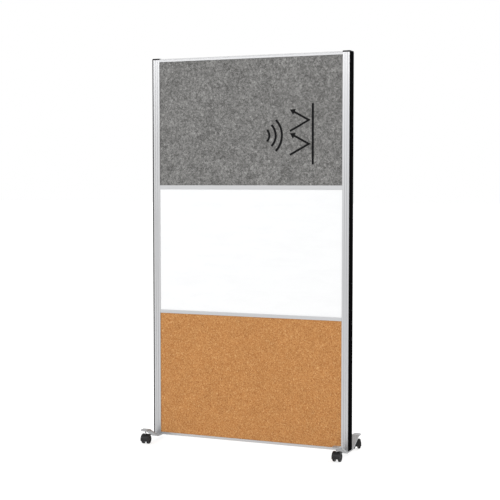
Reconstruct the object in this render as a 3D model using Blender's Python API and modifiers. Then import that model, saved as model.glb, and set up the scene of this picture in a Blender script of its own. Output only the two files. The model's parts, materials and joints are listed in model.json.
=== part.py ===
"""Mobile partition wall on castors.

Two extruded aluminium posts carry four cross rails. The rails and posts have
channels that hold three double-sided infill fields: felt, enamelled board and
cork. A black joining strip runs down the outer side of each post, and a cap
closes its top. A bent flat-bar foot crosses under each post and stands on two
twin-wheel castors.

Frame: +Z up, floor at z = 0, wall across X, middle plane of the wall at y = 0,
front of the wall towards -Y. Metres.
"""

import math

import bmesh
import bpy
from mathutils import Matrix, Vector

# ---------------------------------------------------------------- dimensions
GAP = 0.0003            # clearance between touching pieces

DEPTH = 0.0450          # wall thickness over the aluminium faces
POST_IN = 0.4586        # |x| of the post face towards the fields
POST_OUT = 0.4911       # |x| of the post face towards the joining strip
STRIP_OUT = 0.4964      # |x| of the joining strip's outer face
POST_Z0 = 0.0245        # bottom of posts and bottom rail
POST_Z1 = 1.8210        # top of posts
CAP_TOP = 1.8278

FLANGE = 0.0022         # thickness of the lips that hold the fields
CHANNEL = 0.0080        # depth of the post channel
POST_WALL = 0.0020
GROOVES = (0.0110, 0.0215)   # from the inner edge of the post face
GROOVE_W = 0.0014
GROOVE_D = 0.0012
PORT_R = 0.0026         # screw port in the post
PORT_Y = 0.0105
PORT_U = 0.0245         # from the inner edge of the post

# visible height of each rail: bottom, top
TOP_RAIL = (1.8104, 1.8245)
UPPER_RAIL = (1.2081, 1.2268)
LOWER_RAIL = (0.6149, 0.6304)
BOTTOM_RAIL = (POST_Z0, 0.0363)
RAIL_PORT_R = 0.0023
RAIL_CORE_Y = 0.0199    # half depth of a rail's tongue inside the post channel

FACE_Y = 0.0200         # front surface of a field
FELT_T = 0.0040
CORK_T = 0.0040
STEEL_T = 0.0008

FOOT_X = 0.4787
FOOT_W = 0.0330
FOOT_T = 0.0065
FOOT_TIP_Y = 0.1670
FOOT_BEND_Y = 0.1290    # outer bend, between tip and ramp
FOOT_BASE_Y = 0.0420    # inner bend, between ramp and base
FOOT_TIP_Z = 0.0705     # top of the raised tips
FOOT_BASE_Z = POST_Z0 - GAP
FOOT_BEND_R = 0.0120
FOOT_CORNER_R = 0.0120

STEM_Y = 0.1418
STEM_R = 0.0030
PIN_R = 0.0040
COLLAR_R = 0.0052       # collar of the stem, resting just above the housing
COLLAR_H = 0.0038
BOSS_TOP = 0.0474
TRAIL = 0.0072
WHEEL_R = 0.0215
WHEEL_IN = 0.0078
WHEEL_OUT = 0.0190
AXLE_R = 0.0025
HOOD_R = 0.0255
HOOD_INNER_R = 0.0228
HOOD_HALF = 0.0196
WEB_HALF = 0.0066

# castor name: side, end, swivel angle in degrees (clockwise from above)
CASTORS = (
    ("front_left", -1, -1, -2.0),
    ("front_right", 1, -1, -1.0),
    ("back_left", -1, 1, 12.0),
    ("back_right", 1, 1, -32.0),
)

# ------------------------------------------------------------------- scene
for old in list(bpy.data.objects):
    bpy.data.objects.remove(old, do_unlink=True)

WALL = bpy.data.collections.new("partition_wall")
CUTTERS = bpy.data.collections.new("cutters")
bpy.context.scene.collection.children.link(WALL)
bpy.context.scene.collection.children.link(CUTTERS)


def material(name, rgb, roughness, metallic=0.0):
    mat = bpy.data.materials.new(name)
    mat.use_nodes = True
    shader = mat.node_tree.nodes["Principled BSDF"]
    shader.inputs["Base Color"].default_value = (*rgb, 1.0)
    shader.inputs["Roughness"].default_value = roughness
    shader.inputs["Metallic"].default_value = metallic
    mat.diffuse_color = (*rgb, 1.0)
    return mat


ALUMINIUM = material("anodised_aluminium", (0.66, 0.66, 0.68), 0.42, 0.9)
STEEL = material("galvanised_steel", (0.50, 0.50, 0.51), 0.45, 0.9)
ENAMEL = material("white_enamel", (0.95, 0.95, 0.95), 0.15)
FELT = material("grey_felt", (0.20, 0.20, 0.195), 0.95)
CORK = material("cork", (0.54, 0.26, 0.10), 0.85)
BOARD = material("honeycomb_board", (0.50, 0.40, 0.28), 0.9)
BLACK = material("black_strip", (0.012, 0.012, 0.013), 0.5)
CASTOR_BLACK = material("castor_black", (0.025, 0.025, 0.027), 0.45)

# extrusion frame: section drawn in (y, z), extruded along x
ALONG_X = Matrix(((0, 0, 1, 0), (1, 0, 0, 0), (0, 1, 0, 0), (0, 0, 0, 1)))
# turned frame: profile axis z laid along x
AXIS_X = Matrix(((0, 0, 1, 0), (0, 1, 0, 0), (-1, 0, 0, 0), (0, 0, 0, 1)))


# ----------------------------------------------------------------- helpers
def add(mesh, name, mat=None, collection=WALL):
    obj = bpy.data.objects.new(name, mesh)
    collection.objects.link(obj)
    if mat is not None and not mesh.materials:
        mesh.materials.append(mat)
    if collection is CUTTERS:
        obj.hide_render = True
        obj.display_type = "WIRE"
    return obj


def extrusion(name, outlines, length):
    """Mesh of a flat outline with holes, drawn in its own XY and extruded along Z about 0."""
    curve = bpy.data.curves.new(name, "CURVE")
    curve.dimensions = "2D"
    curve.fill_mode = "BOTH"
    curve.extrude = length / 2
    for outline in outlines:
        spline = curve.splines.new("POLY")
        spline.points.add(len(outline) - 1)
        for point, (a, b) in zip(spline.points, outline):
            point.co = (a, b, 0.0, 1.0)
        spline.use_cyclic_u = True
    obj = bpy.data.objects.new(name, curve)
    WALL.objects.link(obj)
    bpy.context.view_layer.update()
    graph = bpy.context.evaluated_depsgraph_get()
    mesh = bpy.data.meshes.new_from_object(obj.evaluated_get(graph))
    mesh.name = name
    bpy.data.objects.remove(obj, do_unlink=True)
    bpy.data.curves.remove(curve)
    bm = bmesh.new()
    bm.from_mesh(mesh)
    bmesh.ops.remove_doubles(bm, verts=bm.verts, dist=1e-6)
    bmesh.ops.recalc_face_normals(bm, faces=bm.faces)
    bm.to_mesh(mesh)
    bm.free()
    return mesh


def turned(name, profile, segments, mat, collection=WALL):
    """A profile of (radius, height), from the top of the axis down the outside, turned about Z."""
    mesh = bpy.data.meshes.new(name)
    mesh.from_pydata(
        [(r, 0.0, h) for r, h in profile],
        [(i, i + 1) for i in range(len(profile) - 1)],
        [],
    )
    obj = add(mesh, name, mat, collection)
    screw = obj.modifiers.new("turn", "SCREW")
    screw.axis = "Z"
    screw.angle = math.tau
    screw.steps = segments
    screw.render_steps = segments
    screw.use_merge_vertices = True
    screw.merge_threshold = 1e-5
    screw.use_smooth_shade = True
    return obj


def baked(obj):
    """The evaluated mesh of an object, with its modifiers applied; the object is removed."""
    bpy.context.view_layer.update()
    graph = bpy.context.evaluated_depsgraph_get()
    mesh = bpy.data.meshes.new_from_object(obj.evaluated_get(graph))
    mesh.name = obj.name
    bpy.data.objects.remove(obj, do_unlink=True)
    return mesh


def box(bm, low, high):
    size = [b - a for a, b in zip(low, high)]
    mid = [(a + b) / 2 for a, b in zip(low, high)]
    matrix = Matrix.Translation(mid) @ Matrix.Diagonal((*size, 1.0))
    return bmesh.ops.create_cube(bm, size=1.0, matrix=matrix)["verts"]


def rod(bm, radius, start, end, segments=20):
    start, end = Vector(start), Vector(end)
    along = end - start
    turn = along.to_track_quat("Z", "Y").to_matrix().to_4x4()
    matrix = Matrix.Translation((start + end) / 2) @ turn
    return bmesh.ops.create_cone(
        bm,
        cap_ends=True,
        segments=segments,
        radius1=radius,
        radius2=radius,
        depth=along.length,
        matrix=matrix,
    )["verts"]


def shape(name, build, mat=None, collection=WALL):
    mesh = bpy.data.meshes.new(name)
    bm = bmesh.new()
    build(bm)
    bm.to_mesh(mesh)
    bm.free()
    return add(mesh, name, mat, collection)


def boolean(obj, other, operation="DIFFERENCE"):
    mod = obj.modifiers.new(operation.lower(), "BOOLEAN")
    mod.operation = operation
    mod.solver = "EXACT"
    mod.object = other
    return mod


def smooth(obj, degrees=30.0):
    obj.data.shade_smooth()
    obj.data.set_sharp_from_angle(angle=math.radians(degrees))


def circle(cx, cy, radius, count):
    return [
        (cx + radius * math.cos(math.tau * i / count), cy + radius * math.sin(math.tau * i / count))
        for i in range(count)
    ]


def rectangle(x0, y0, x1, y1):
    return [(x0, y0), (x1, y0), (x1, y1), (x0, y1)]


# ------------------------------------------------------------------- posts
def post_outlines(side):
    """Section of a post in world x, y. u runs from the inner face outwards."""
    half = DEPTH / 2
    width = POST_OUT - POST_IN
    lip = half - FLANGE
    slot_y, slot_d = 0.0060, 0.0024
    front = [(0.0, -half)]
    for g in GROOVES:
        front += [
            (g - GROOVE_W / 2, -half),
            (g - GROOVE_W / 4, -half + GROOVE_D),
            (g + GROOVE_W / 4, -half + GROOVE_D),
            (g + GROOVE_W / 2, -half),
        ]
    chamfer = 0.0006
    front += [(width - chamfer, -half), (width, -half + chamfer)]
    outer = [(width, -slot_y), (width - slot_d, -slot_y), (width - slot_d, slot_y), (width, slot_y)]
    back = [(u, -y) for u, y in reversed(front)]
    channel = [(0.0, lip), (CHANNEL, lip), (CHANNEL, -lip), (0.0, -lip)]
    outline = front + outer + back + channel

    inner_u = CHANNEL + POST_WALL
    outer_u = width - 0.0040
    y = half - POST_WALL
    boss = PORT_R + 0.0017

    def bump(cy, direction):
        """The chamber's edge where it passes round one screw boss, going along y in direction."""
        points = [(outer_u, cy - direction * boss)]
        for i in range(7):
            a = math.pi * i / 6
            points.append((PORT_U - boss * math.sin(a), cy - direction * boss * math.cos(a)))
        points.append((outer_u, cy + direction * boss))
        return points

    chamber = (
        [(inner_u, -y), (outer_u, -y)]
        + bump(-PORT_Y, 1)
        + bump(PORT_Y, 1)
        + [(outer_u, y), (inner_u, y)]
    )
    ports = [circle(PORT_U, s * PORT_Y, PORT_R, 12) for s in (-1, 1)]
    return [[(side * (POST_IN + u), v) for u, v in line] for line in [outline, chamber, *ports]]


RAILS = {
    "top": TOP_RAIL,
    "upper_mid": UPPER_RAIL,
    "lower_mid": LOWER_RAIL,
    "bottom": BOTTOM_RAIL,
}
# height of each rail's screw port
RAIL_PORT_Z = {
    "top": TOP_RAIL[1] - 0.0072,
    "upper_mid": sum(UPPER_RAIL) / 2,
    "lower_mid": sum(LOWER_RAIL) / 2,
    "bottom": BOTTOM_RAIL[0] + 0.0036,
}

for side, word in ((-1, "left"), (1, "right")):
    mesh = extrusion("post_" + word, post_outlines(side), POST_Z1 - POST_Z0)
    post = add(mesh, "post_" + word, ALUMINIUM)
    post.location = (0.0, 0.0, (POST_Z0 + POST_Z1) / 2)

    def holes(bm, side=side):
        for z in RAIL_PORT_Z.values():
            web = POST_IN + CHANNEL
            rod(bm, 0.0026, (side * (web - 0.001), 0, z), (side * (web + POST_WALL + 0.001), 0, z), 10)
            rod(bm, 0.0055, (side * (POST_OUT - 0.0045), 0, z), (side * (POST_OUT + 0.001), 0, z), 12)

    boolean(post, shape("post_holes_" + word, holes, None, CUTTERS))


# ------------------------------------------------------------------- rails
RAIL_END = POST_IN + CHANNEL - GAP


def rail_outlines(kind):
    """Section of a rail in y, z about the world origin of height."""
    z0, z1 = RAILS[kind]
    half = DEPTH / 2
    lip = half - FLANGE
    c = 0.0005
    port_z = RAIL_PORT_Z[kind]
    if kind in ("upper_mid", "lower_mid"):
        web0, web1 = port_z - 0.0034, port_z + 0.0034
        outline = [
            (-half, z0 + c), (-half + c, z0), (-lip, z0), (-lip, web0), (lip, web0), (lip, z0),
            (half - c, z0), (half, z0 + c), (half, z1 - c), (half - c, z1), (lip, z1), (lip, web1),
            (-lip, web1), (-lip, z1), (-half + c, z1), (-half, z1 - c),
        ]
        holes = [rectangle(s * 0.0115 - 0.0075, port_z - 0.0019, s * 0.0115 + 0.0075, port_z + 0.0019) for s in (-1, 1)]
    elif kind == "top":
        web0 = z1 - 0.0108
        g = z1 - 0.0045
        outline = [
            (-half, z0 + c), (-half + c, z0), (-lip, z0), (-lip, web0), (lip, web0), (lip, z0),
            (half - c, z0), (half, z0 + c),
            (half, g - 0.0005), (half - 0.0005, g - 0.0002), (half - 0.0005, g + 0.0002), (half, g + 0.0005),
            (half, z1 - 0.0012), (half - 0.0012, z1),
            (-half + 0.0012, z1), (-half, z1 - 0.0012),
            (-half, g + 0.0005), (-half + 0.0005, g + 0.0002), (-half + 0.0005, g - 0.0002), (-half, g - 0.0005),
        ]
        holes = [rectangle(s * 0.0120 - 0.0080, port_z - 0.0019, s * 0.0120 + 0.0080, port_z + 0.0052) for s in (-1, 1)]
    else:
        web1 = z0 + 0.0072
        outline = [
            (-half, z0 + 0.0012), (-half + 0.0012, z0), (half - 0.0012, z0), (half, z0 + 0.0012),
            (half, z1 - c), (half - c, z1), (lip, z1), (lip, web1), (-lip, web1), (-lip, z1),
            (-half + c, z1), (-half, z1 - c),
        ]
        holes = [rectangle(s * 0.0115 - 0.0075, port_z - 0.0019, s * 0.0115 + 0.0075, port_z + 0.0019) for s in (-1, 1)]
    holes.append(circle(0.0, port_z, RAIL_PORT_R, 10))
    return [outline, *holes]


for kind, (z0, z1) in RAILS.items():
    mesh = extrusion(kind + "_rail", rail_outlines(kind), 2 * RAIL_END)
    rail = add(mesh, kind + "_rail", ALUMINIUM)
    rail.matrix_world = ALONG_X

    def notches(bm, kind=kind):
        for sx in (-1, 1):
            x = sorted((sx * (POST_IN - GAP), sx * (RAIL_END + 0.002)))
            for sy in (-1, 1):
                y = sorted((sy * RAIL_CORE_Y, sy * (DEPTH / 2 + 0.002)))
                box(bm, (x[0], y[0], RAILS[kind][0] - 0.002), (x[1], y[1], RAILS[kind][1] + 0.002))

    boolean(rail, shape(kind + "_rail_notches", notches, None, CUTTERS))
    if kind == "top":
        # the tongues stay below the post caps
        def tops(bm):
            for sx in (-1, 1):
                x = sorted((sx * (POST_IN - GAP), sx * (RAIL_END + 0.002)))
                box(bm, (x[0], -0.03, POST_Z1 - GAP), (x[1], 0.03, TOP_RAIL[1] + 0.002))

        boolean(rail, shape("top_rail_tongue_tops", tops, None, CUTTERS))


# ------------------------------------------------------------------ fields
def slab(name, x, y0, y1, z0, z1, mat):
    obj = shape(name, lambda bm: box(bm, (-x, -(y1 - y0) / 2, -(z1 - z0) / 2), (x, (y1 - y0) / 2, (z1 - z0) / 2)), mat)
    obj.location = (0.0, (y0 + y1) / 2, (z0 + z1) / 2)
    return obj


FIELD_X = POST_IN + 0.0070
FIELDS = (
    ("felt", UPPER_RAIL[1] - 0.0050, TOP_RAIL[0] + 0.0030, FELT_T, FELT),
    ("whiteboard", LOWER_RAIL[1] - 0.0035, UPPER_RAIL[0] + 0.0050, STEEL_T, ENAMEL),
    ("cork", BOTTOM_RAIL[1] - 0.0040, LOWER_RAIL[0] + 0.0035, CORK_T, CORK),
)
for name, z0, z1, thick, mat in FIELDS:
    slab(name + "_face_front", FIELD_X, -FACE_Y, -FACE_Y + thick, z0, z1, mat)
    slab(name + "_face_back", FIELD_X, FACE_Y - thick, FACE_Y, z0, z1, mat)
    core = FACE_Y - thick - GAP
    slab(name + "_core", FIELD_X, -core, core, z0, z1, BOARD)


# ---------------------------------------------------- joining strips and caps
def strip_outline(side):
    half = DEPTH / 2
    inner = POST_OUT + GAP
    rib_y, rib_x = 0.0054, POST_OUT - 0.0020
    r = 0.0010
    g, gw, gd = 0.0150, 0.0012, 0.0008
    line = [
        (inner, -half), (STRIP_OUT - r, -half), (STRIP_OUT - 0.3 * r, -half + 0.3 * r), (STRIP_OUT, -half + r),
        (STRIP_OUT, -g - gw), (STRIP_OUT - gd, -g - gw / 2), (STRIP_OUT - gd, -g + gw / 2), (STRIP_OUT, -g + gw),
    ]
    line += [(x, -y) for x, y in reversed(line)]
    line += [(inner, rib_y), (rib_x, rib_y), (rib_x, -rib_y), (inner, -rib_y)]
    return [[(side * x, y) for x, y in line]]


for side, word in ((-1, "left"), (1, "right")):
    mesh = extrusion("side_strip_" + word, strip_outline(side), POST_Z1 - POST_Z0)
    strip = add(mesh, "side_strip_" + word, BLACK)
    strip.location = (0.0, 0.0, (POST_Z0 + POST_Z1) / 2)

    z0 = POST_Z1 + GAP

    def cap_plate(bm, side=side, z0=z0):
        x = sorted((side * POST_IN, side * STRIP_OUT))
        box(bm, (x[0], -DEPTH / 2, z0), (x[1], DEPTH / 2, CAP_TOP))
        outer = [
            e for e in bm.edges
            if all(abs(abs(v.co.x) - STRIP_OUT) < 1e-6 and v.co.z > z0 + 0.001 for v in e.verts)
        ]
        bmesh.ops.bevel(bm, geom=outer, offset=0.0045, segments=3, profile=0.5, affect="EDGES")
        rest = [
            e for e in bm.edges
            if all(abs(abs(v.co.y) - DEPTH / 2) < 1e-6 and v.co.z > z0 + 0.0001 for v in e.verts)
        ]
        bmesh.ops.bevel(bm, geom=rest, offset=0.0010, segments=2, profile=0.5, affect="EDGES")

    def cap_pegs(bm, side=side, z0=z0):
        for sy in (-1, 1):
            p = (side * (POST_IN + PORT_U), sy * PORT_Y)
            rod(bm, PORT_R - GAP, (*p, z0 - 0.012), (*p, z0 + 0.002), 10)

    cap = shape("top_cap_" + word, cap_plate, BLACK)
    boolean(cap, shape("top_cap_pegs_" + word, cap_pegs, None, CUTTERS), "UNION")


# -------------------------------------------------------------------- feet
def bent_bar(points, radius, thickness, steps=3):
    """Outline of a flat bar of one thickness whose middle line follows points with rounded bends."""
    line = [Vector(points[0])]
    for a, b, c in zip(points, points[1:], points[2:]):
        a, b, c = Vector(a), Vector(b), Vector(c)
        into, out = (b - a).normalized(), (c - b).normalized()
        turn = into.angle_signed(out)
        back = radius * math.tan(abs(turn) / 2)
        start = b - into * back
        side = Vector((-into.y, into.x)) * (1 if turn < 0 else -1)
        centre = start + side * radius
        for i in range(steps + 1):
            angle = -turn * i / steps
            arm = start - centre
            c_, s_ = math.cos(angle), math.sin(angle)
            line.append(centre + Vector((arm.x * c_ - arm.y * s_, arm.x * s_ + arm.y * c_)))
    line.append(Vector(points[-1]))
    left, right = [], []
    for i, p in enumerate(line):
        before = line[max(i - 1, 0)]
        after = line[min(i + 1, len(line) - 1)]
        along = (after - before).normalized()
        normal = Vector((-along.y, along.x))
        left.append(p + normal * thickness / 2)
        right.append(p - normal * thickness / 2)
    return [(p.x, p.y) for p in left] + [(p.x, p.y) for p in reversed(right)]


tip_z = FOOT_TIP_Z - FOOT_T / 2
base_z = FOOT_BASE_Z - FOOT_T / 2
FOOT_LINE = [
    (-FOOT_TIP_Y, tip_z), (-FOOT_BEND_Y, tip_z), (-FOOT_BASE_Y, base_z),
    (FOOT_BASE_Y, base_z), (FOOT_BEND_Y, tip_z), (FOOT_TIP_Y, tip_z),
]
foot_mesh = extrusion("foot", [bent_bar(FOOT_LINE, FOOT_BEND_R, FOOT_T)], FOOT_W)
bm = bmesh.new()
bm.from_mesh(foot_mesh)
corners = [
    e for e in bm.edges
    if all(abs(abs(v.co.x) - FOOT_TIP_Y) < 1e-5 and abs(abs(v.co.z) - FOOT_W / 2) < 1e-5 for v in e.verts)
    and abs(e.verts[0].co.y - e.verts[1].co.y) > FOOT_T / 2
]
bmesh.ops.bevel(bm, geom=corners, offset=FOOT_CORNER_R, segments=5, profile=0.5, affect="EDGES")
bm.to_mesh(foot_mesh)
bm.free()
for side, word in ((-1, "left"), (1, "right")):
    mesh = foot_mesh.copy()
    foot = add(mesh, "foot_" + word, STEEL)
    foot.matrix_world = Matrix.Translation((side * FOOT_X, 0.0, 0.0)) @ ALONG_X

    def foot_holes(bm, side=side):
        for sy in (-1, 1):
            x = side * (POST_IN + PORT_U)
            rod(bm, 0.0028, (x, sy * PORT_Y, 0.012), (x, sy * PORT_Y, 0.030), 12)
            rod(bm, STEM_R + GAP, (side * FOOT_X, sy * STEM_Y, 0.055), (side * FOOT_X, sy * STEM_Y, 0.080), 12)

    boolean(foot, shape("foot_holes_" + word, foot_holes, None, CUTTERS))


# ------------------------------------------------------------------ screws
def screw_mesh(name, head_r, head_h, shank_r, length):
    """A pan-head screw along Z: head from 0 upwards, shank down to -length."""
    profile = [
        (0.0, head_h), (head_r * 0.75, head_h), (head_r, head_h * 0.5), (head_r, 0.0),
        (shank_r, 0.0), (shank_r, -length + shank_r), (0.0, -length),
    ]
    return baked(turned(name, profile, 12, STEEL))


foot_screw = screw_mesh("foot_screw", 0.0048, 0.0030, PORT_R - GAP, 0.020)
for side, word in ((-1, "left"), (1, "right")):
    for sy, end in ((-1, "front"), (1, "back")):
        obj = add(foot_screw, f"foot_screw_{word}_{end}", STEEL)
        obj.rotation_euler = (math.pi, 0.0, 0.0)
        obj.location = (side * (POST_IN + PORT_U), sy * PORT_Y, FOOT_BASE_Z - FOOT_T - GAP)

rail_screw = screw_mesh("rail_screw", 0.0034, 0.0024, 0.0020, 0.020)
for kind in RAILS:
    for side, word in ((-1, "left"), (1, "right")):
        obj = add(rail_screw, f"rail_screw_{kind}_{word}", STEEL)
        obj.rotation_euler = (0.0, side * math.pi / 2, 0.0)
        obj.location = (side * (POST_IN + CHANNEL + POST_WALL + GAP), 0.0, RAIL_PORT_Z[kind])


# ----------------------------------------------------------------- castors
# Castor frame: stem axis on z, floor at 0, axle parallel to x, wheels trailing to +y.
AXLE = Vector((0.0, TRAIL, WHEEL_R))

NUT_Z0 = FOOT_TIP_Z - FOOT_T - GAP - 0.0032
stem_mesh = baked(turned(
    "castor_stem",
    [
        (0.0, FOOT_TIP_Z - 0.0002), (STEM_R, FOOT_TIP_Z - 0.0004),
        (STEM_R, BOSS_TOP + COLLAR_H), (COLLAR_R - 0.0004, BOSS_TOP + COLLAR_H),
        (COLLAR_R, BOSS_TOP + COLLAR_H - 0.0004), (COLLAR_R, BOSS_TOP + GAP),
        (PIN_R, BOSS_TOP + GAP),
        (PIN_R, 0.0306), (0.0, 0.0302),
    ],
    14, STEEL,
))


def nut_build(bm):
    matrix = Matrix.Translation((0, 0, NUT_Z0 + 0.0016))
    bmesh.ops.create_cone(bm, cap_ends=True, segments=6, radius1=0.0058, radius2=0.0058, depth=0.0032, matrix=matrix)
    rim = [e for e in bm.edges if all(v.co.z < NUT_Z0 + 0.0002 for v in e.verts)]
    bmesh.ops.bevel(bm, geom=rim, offset=0.0005, segments=1, affect="EDGES")


nut = shape("castor_nut", nut_build, STEEL)
nut_bore = shape("nut_bore", lambda bm: rod(bm, STEM_R + GAP, (0, 0, FOOT_TIP_Z - 0.01), (0, 0, FOOT_TIP_Z + 0.02), 12), None, CUTTERS)
boolean(nut, nut_bore)
nut_mesh = baked(nut)


def arc(radius, start, end, count):
    return [
        (radius * math.cos(math.radians(start + (end - start) * i / count)),
         radius * math.sin(math.radians(start + (end - start) * i / count)))
        for i in range(count + 1)
    ]


# hood over both wheels, drawn in (y, z) about the axle
def hood_build(bm):
    """A rounded channel section swept round the axle, from the back of the top, over it and down the front."""
    r = 0.0020
    section = [
        (-HOOD_HALF, HOOD_INNER_R), (-HOOD_HALF, HOOD_R - r), (-HOOD_HALF + 0.3 * r, HOOD_R - 0.3 * r), (-HOOD_HALF + r, HOOD_R),
        (HOOD_HALF - r, HOOD_R), (HOOD_HALF - 0.3 * r, HOOD_R - 0.3 * r), (HOOD_HALF, HOOD_R - r), (HOOD_HALF, HOOD_INNER_R),
    ]
    start = math.radians(48)
    face = bm.faces.new([bm.verts.new((x, q * math.cos(start), q * math.sin(start))) for x, q in section])
    geom = [face, *face.edges, *face.verts]
    bmesh.ops.spin(bm, geom=geom, cent=(0, 0, 0), axis=(1, 0, 0), dvec=(0, 0, 0), angle=math.radians(146), steps=12, use_duplicate=False)
    bmesh.ops.recalc_face_normals(bm, faces=bm.faces)


housing = shape("castor_housing", hood_build, CASTOR_BLACK)
housing.location = AXLE

web = extrusion(
    "web",
    [arc(HOOD_R - 0.0014, 52, 190, 10) + [(-0.0110, -0.0078), (-0.0035, -0.0068), (0.0050, -0.0058), (0.0090, -0.0010)]],
    2 * WEB_HALF,
)
web_obj = add(web, "castor_web", None, CUTTERS)
web_obj.matrix_world = Matrix.Translation(AXLE) @ ALONG_X
boss_obj = shape("castor_boss", lambda bm: rod(bm, WEB_HALF, (0, 0, 0.028), (0, 0, BOSS_TOP), 16), None, CUTTERS)
bores = shape(
    "castor_bores",
    lambda bm: (
        rod(bm, AXLE_R + GAP, (-0.03, TRAIL, WHEEL_R), (0.03, TRAIL, WHEEL_R), 12),
        rod(bm, PIN_R + GAP, (0, 0, 0.0290), (0, 0, 0.060), 14),
    ),
    None, CUTTERS,
)
boolean(housing, web_obj, "UNION")
boolean(housing, boss_obj, "UNION")
boolean(housing, bores, "DIFFERENCE")
housing_mesh = baked(housing)
housing_mesh.transform(Matrix.Translation(AXLE))

axle_half = WHEEL_OUT - 0.0030
axle_mesh = baked(turned(
    "castor_axle",
    [
        (0.0, axle_half), (AXLE_R - 0.0004, axle_half), (AXLE_R, axle_half - 0.0004),
        (AXLE_R, -axle_half + 0.0004), (AXLE_R - 0.0004, -axle_half), (0.0, -axle_half),
    ],
    12, STEEL,
))
axle_mesh.transform(AXIS_X)

# one wheel about its own axis, outer face at +WHEEL_OUT, blind bore from the inside
W, R = WHEEL_OUT, WHEEL_R
wheel_mesh = baked(turned(
    "castor_wheel",
    [
        (0.0, W - 0.0010), (0.0150, W - 0.0010), (0.0168, W), (R - 0.0010, W - 0.0010),
        (R, W - 0.0030), (R, WHEEL_IN + 0.0026), (R - 0.0024, WHEEL_IN),
        (AXLE_R + GAP, WHEEL_IN), (AXLE_R + GAP, W - 0.0026), (0.0, W - 0.0026),
    ],
    22, CASTOR_BLACK,
))
wheel_right = wheel_mesh.copy()
wheel_right.transform(AXIS_X)
wheel_left = wheel_mesh.copy()
wheel_left.transform(Matrix.Rotation(math.pi, 4, "Z") @ AXIS_X)

for name, sx, sy, swivel in CASTORS:
    centre = bpy.data.objects.new("castor_" + name, None)
    WALL.objects.link(centre)
    centre.empty_display_size = 0.03
    centre.location = (sx * FOOT_X, sy * STEM_Y, 0.0)
    centre.rotation_euler = (0.0, 0.0, -math.radians(swivel))
    pieces = (
        (f"castor_stem_{name}", stem_mesh, (0, 0, 0)),
        (f"castor_nut_{name}", nut_mesh, (0, 0, 0)),
        (f"castor_housing_{name}", housing_mesh, (0, 0, 0)),
        (f"castor_axle_{name}", axle_mesh, AXLE),
        (f"castor_wheel_left_{name}", wheel_left, AXLE),
        (f"castor_wheel_right_{name}", wheel_right, AXLE),
    )
    for piece, mesh, place in pieces:
        obj = add(mesh, piece)
        obj.parent = centre
        obj.location = place

for obj in WALL.objects:
    if obj.type == "MESH" and obj.name.startswith(("castor_", "foot_", "rail_screw")):
        smooth(obj)

bpy.context.view_layer.update()
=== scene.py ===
"""Looks of the mobile partition wall: fine pieces, procedural materials, light and camera."""
import json
import math

import bmesh
import bpy
from mathutils import Matrix, Vector, noise


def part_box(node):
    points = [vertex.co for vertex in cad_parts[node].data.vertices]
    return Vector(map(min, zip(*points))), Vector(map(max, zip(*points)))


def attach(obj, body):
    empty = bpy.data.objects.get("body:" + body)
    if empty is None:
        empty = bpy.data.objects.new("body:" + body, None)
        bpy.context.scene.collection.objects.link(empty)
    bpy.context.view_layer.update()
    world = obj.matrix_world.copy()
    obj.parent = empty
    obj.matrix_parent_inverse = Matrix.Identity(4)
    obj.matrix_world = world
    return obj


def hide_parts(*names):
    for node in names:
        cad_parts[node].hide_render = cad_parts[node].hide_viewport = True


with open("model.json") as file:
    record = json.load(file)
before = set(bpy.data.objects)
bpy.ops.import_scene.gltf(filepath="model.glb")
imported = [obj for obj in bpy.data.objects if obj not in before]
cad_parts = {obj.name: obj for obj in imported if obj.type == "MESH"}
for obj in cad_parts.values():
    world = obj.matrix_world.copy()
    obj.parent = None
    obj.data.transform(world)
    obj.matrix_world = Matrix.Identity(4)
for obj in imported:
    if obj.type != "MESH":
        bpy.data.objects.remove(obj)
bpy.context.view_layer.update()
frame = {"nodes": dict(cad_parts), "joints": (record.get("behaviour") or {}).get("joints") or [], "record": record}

RECORD = frame["record"]
BODY = {n: b for b, members in RECORD["behaviour"]["bodies"].items() for n in members}
JOINT = {j["name"]: j for j in frame["joints"]}
NAMES = ("front_left", "front_right", "back_left", "back_right")

# dimensions that the fine pieces share with the CAD model, metres
FACE_Y = 0.0200
FOOT_TIP_Z = 0.0705
FOOT_T = 0.0065
STEM_R = 0.0030
PIN_R = 0.0040
COLLAR_R = 0.0052
COLLAR_H = 0.0038
BOSS_TOP = 0.0474
TRAIL = 0.0072
WHEEL_R = 0.0215
WHEEL_IN = 0.0078
WHEEL_OUT = 0.0190
AXLE_R = 0.0025
HOOD_R = 0.0255
HOOD_INNER_R = 0.0228
HOOD_HALF = 0.0196
WEB_HALF = 0.0066
NUT_Z0 = FOOT_TIP_Z - FOOT_T - 0.0003 - 0.0032


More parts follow.
